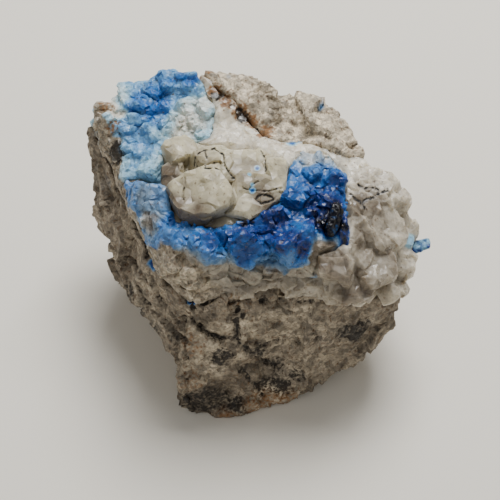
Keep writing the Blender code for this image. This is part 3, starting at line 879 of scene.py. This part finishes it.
def grainy_crust(node, name, smoothing, grain, seed):
    """A crust whose crystals are fused, then covered with facets of a grain's size and finer ones."""
    crust = copy_node(node, name)
    remesh(crust, sizes().crust_cell)
    grow(crust, sizes().overlap)
    soften(crust, smoothing)
    chip(crust, size=1.5 * grain, slope=0.45, seed=seed)
    facet(crust, size=0.7 * grain, depth=0.16 * grain, seed=seed + 1)
    break_flat(crust, sizes().crust_facets, depth=0.05 * MM, levels=1)
    return crust


def paint_minerals(piece, blues, blue, smoky):
    """Writes the attributes of the vein's minerals over a piece's own values. Gives its darkness back."""
    paint(piece, "blue", blues + BLUE_SPOTS, blue)
    paint(piece, "rust", RUST_PATCHES, 0.0)
    # Rock tone with painted light on the top and painted shade on the front and left faces, for the rock at
    # the rims.
    paint(piece, "light", ROCK_TONE_AND_PAINTED_LIGHT, 0.5)
    paint(piece, "stone", STONE_PATCHES, 0.0)
    paint(piece, "smoky", SMOKY_PATCHES, smoky)
    return paint(piece, "dark", DARK_PATCHES, 0.0)


def stand_on_floor(piece):
    """Keeps a roughened surface from reaching below the flat face that it stands on."""
    points = points_of(piece)
    points[:, 2] = np.maximum(points[:, 2], CAD_BOX[0][2])
    set_points(piece, points)


def place_piece(piece, node):
    """Fixes a finished piece to the specimen in place of its CAD node."""
    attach(piece, "root")
    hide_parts(node)


def floor():
    """A wide sheet of matt paper: pale and without gloss, so that only soft shadows show on it."""
    bpy.ops.object.select_all(action="DESELECT")
    bpy.ops.mesh.primitive_plane_add(size=FLOOR_SIDE)
    ground = bpy.context.object
    ground.name = "pale_floor"
    made, _, shader, _ = new_material("matt_paper")
    shader.inputs["Base Color"].default_value = (*linear("#ebe6da"), 1.0)
    shader.inputs["Roughness"].default_value = 0.9
    ground.data.materials.append(made)


def area_light(name, place, size, power):
    """A soft square light that faces the specimen."""
    lamp = bpy.data.lights.new(name, "AREA")
    lamp.size = size
    lamp.energy = power
    light = bpy.data.objects.new(name, lamp)
    light.location = place
    light.rotation_euler = (Vector(studio().target) - Vector(place)).to_track_quat("-Z", "Y").to_euler()
    bpy.context.scene.collection.objects.link(light)


# Operators


class SPECIMEN_OT_host_rock(bpy.types.Operator):
    """Dress the block of host rock"""

    bl_idname = "specimen.host_rock"
    bl_label = "Host rock"

    def execute(self, context):
        rock = copy_node("host_rock", "broken_host_rock")
        remesh(rock, sizes().rock_cell)
        grow(rock, sizes().overlap)
        break_surface(rock, ROCK_CHIPS, ROCK_SWELLS)
        paint(rock, "blue", BLUE_SPOTS, start=0.0)
        paint(rock, "rust", RUST_PATCHES, start=0.12)
        # Rock tone with painted light on the top and painted shade on the front and left faces.
        paint(rock, "light", ROCK_TONE_AND_PAINTED_LIGHT, start=0.36)
        dark = paint(rock, "dark", DARK_PATCHES, start=0.06)
        crack(rock, ROCK_CRACKS, dark, ROCK_CRACK_DEPTH)
        stand_on_floor(rock)
        rock.data.materials.append(host_rock_material())
        place_piece(rock, "host_rock")
        return {"FINISHED"}


class SPECIMEN_OT_quartz_vein(bpy.types.Operator):
    """Dress the quartz vein"""

    bl_idname = "specimen.quartz_vein"
    bl_label = "Quartz vein"

    def execute(self, context):
        vein = copy_node("quartz_vein", "milky_quartz_vein")
        remesh(vein, sizes().vein_cell)
        grow(vein, sizes().overlap)
        soften(vein, VEIN_SMOOTHING)
        break_surface(vein, VEIN_CHIPS, VEIN_SWELLS)
        break_flat(vein, sizes().quartz_facets, depth=0.06 * MM, levels=2)
        dark = paint_minerals(vein, [], blue=0.0, smoky=0.25)
        crack(vein, VEIN_THREADS, dark, VEIN_CRACK_DEPTH)
        vein.data.materials.append(quartz_material())
        place_piece(vein, "quartz_vein")
        return {"FINISHED"}


class SPECIMEN_OT_pale_crust(bpy.types.Operator):
    """Dress the pale blue crust"""

    bl_idname = "specimen.pale_crust"
    bl_label = "Pale blue crust"

    def execute(self, context):
        node, grain = "pale_linarite_crust", sizes().pale_grain
        crust = grainy_crust(node, "sky_blue_crust", PALE_SMOOTHING, grain, seed=31)
        paint_minerals(crust, BLUE_PATCHES, blue=0.38, smoky=0.0)
        look = crust_material("sugary_linarite_crust", facet_size=0.42, thin=colours().sky)
        crust.data.materials.append(look)
        place_piece(crust, node)
        return {"FINISHED"}


class SPECIMEN_OT_deep_crust(bpy.types.Operator):
    """Dress the deep blue crust"""

    bl_idname = "specimen.deep_crust"
    bl_label = "Deep blue crust"

    def execute(self, context):
        node, grain = "deep_linarite_crust", sizes().deep_grain
        crust = grainy_crust(node, "deep_blue_crust", DEEP_SMOOTHING, grain, seed=41)
        paint_minerals(crust, BLUE_PATCHES, blue=0.50, smoky=0.5)
        look = crust_material("azure_linarite_crust", facet_size=0.7, thin=colours().slate)
        crust.data.materials.append(look)
        place_piece(crust, node)
        return {"FINISHED"}


class SPECIMEN_OT_cream_crystals(bpy.types.Operator):
    """Dress the large pale crystals"""

    bl_idname = "specimen.cream_crystals"
    bl_label = "Cream crystals"

    def execute(self, context):
        crystals = copy_node("cream_crystals", "cream_crystal_group")
        remesh(crystals, sizes().crystal_cell)
        grow(crystals, sizes().overlap)
        soften(crystals, CREAM_SMOOTHING)
        break_surface(crystals, CREAM_CHIPS, CREAM_SWELLS)
        break_flat(crystals, sizes().cream_facets, depth=0.05 * MM, levels=3)
        dark = paint_minerals(crystals, [], blue=0.0, smoky=0.2)
        crack(crystals, CRYSTAL_THREADS, dark, CREAM_CRACK_DEPTH)
        crystals.data.materials.append(cream_material())
        place_piece(crystals, "cream_crystals")
        return {"FINISHED"}


class SPECIMEN_OT_dark_linarite(bpy.types.Operator):
    """Dress the two crystals of thick linarite"""

    bl_idname = "specimen.dark_linarite"
    bl_label = "Linarite crystals"

    def execute(self, context):
        tone = colours()
        nearly_black = (tone.navy, tone.azure, 0.55, 0.95)
        bright_blue = (tone.deep, tone.sky, 0.38, 0.66)
        for node, name, slot, look in [
            ("linarite_prism", "dark_linarite_crystal", "dark_linarite", nearly_black),
            ("linarite_blade", "edge_linarite_blade", "blade_linarite", bright_blue),
        ]:
            crystal = copy_node(node, name)
            remesh(crystal, sizes().crystal_cell / 2)
            facet(crystal, CRYSTAL_FACET, CRYSTAL_FACET_DEPTH, seed=15)
            crystal.data.materials.append(dark_linarite_material(name, *look))
            place_piece(crystal, node)
        return {"FINISHED"}


class SPECIMEN_OT_studio(bpy.types.Operator):
    """Set up the floor, the lights and the camera"""

    bl_idname = "specimen.studio"
    bl_label = "Studio"

    def execute(self, context):
        floor()
        world = bpy.data.worlds.new("studio_room")
        world.use_nodes = True
        backdrop = world.node_tree.nodes["Background"]
        backdrop.inputs["Color"].default_value = ROOM_COLOUR
        backdrop.inputs["Strength"].default_value = studio().sky_strength
        context.scene.world = world
        area_light("key_light", KEY_PLACE, KEY_WIDTH, studio().key_power)
        area_light("fill_light", FILL_PLACE, FILL_WIDTH, studio().fill_power)
        lens = bpy.data.cameras.new("specimen_camera")
        lens.lens = studio().lens
        lens.sensor_width = studio().sensor
        lens.clip_start = MM
        camera = bpy.data.objects.new("specimen_camera", lens)
        camera.location = camera_place()
        camera.rotation_euler = (math.radians(90) - studio().elevation, 0.0, 0.0)
        context.scene.collection.objects.link(camera)
        context.scene.camera = camera
        return {"FINISHED"}


class SPECIMEN_PT_panel(bpy.types.Panel):
    """Lists the specimen's pieces"""

    bl_idname = "SPECIMEN_PT_panel"
    bl_label = "Linarite specimen"
    bl_space_type = "VIEW_3D"
    bl_region_type = "UI"
    bl_category = "Specimen"

    def draw(self, context):
        for operator in OPERATORS:
            self.layout.operator(operator.bl_idname)


OPERATORS = [
    SPECIMEN_OT_studio,
    SPECIMEN_OT_host_rock,
    SPECIMEN_OT_quartz_vein,
    SPECIMEN_OT_pale_crust,
    SPECIMEN_OT_deep_crust,
    SPECIMEN_OT_cream_crystals,
    SPECIMEN_OT_dark_linarite,
]
CLASSES = [SpecimenSizes, MineralColours, StudioSettings, *OPERATORS, SPECIMEN_PT_panel]


def register():
    for each in CLASSES:
        bpy.utils.register_class(each)
    bpy.types.Scene.specimen_sizes = bpy.props.PointerProperty(type=SpecimenSizes)
    bpy.types.Scene.mineral_colours = bpy.props.PointerProperty(type=MineralColours)
    bpy.types.Scene.studio_settings = bpy.props.PointerProperty(type=StudioSettings)


def unregister():
    del bpy.types.Scene.studio_settings
    del bpy.types.Scene.mineral_colours
    del bpy.types.Scene.specimen_sizes
    for each in reversed(CLASSES):
        bpy.utils.unregister_class(each)


def main():
    noise.seed_set(SEED)
    register()
    bpy.ops.specimen.studio()
    bpy.ops.specimen.host_rock()
    bpy.ops.specimen.quartz_vein()
    bpy.ops.specimen.pale_crust()
    bpy.ops.specimen.deep_crust()
    bpy.ops.specimen.cream_crystals()
    bpy.ops.specimen.dark_linarite()


if __name__ == "__main__":
    main()
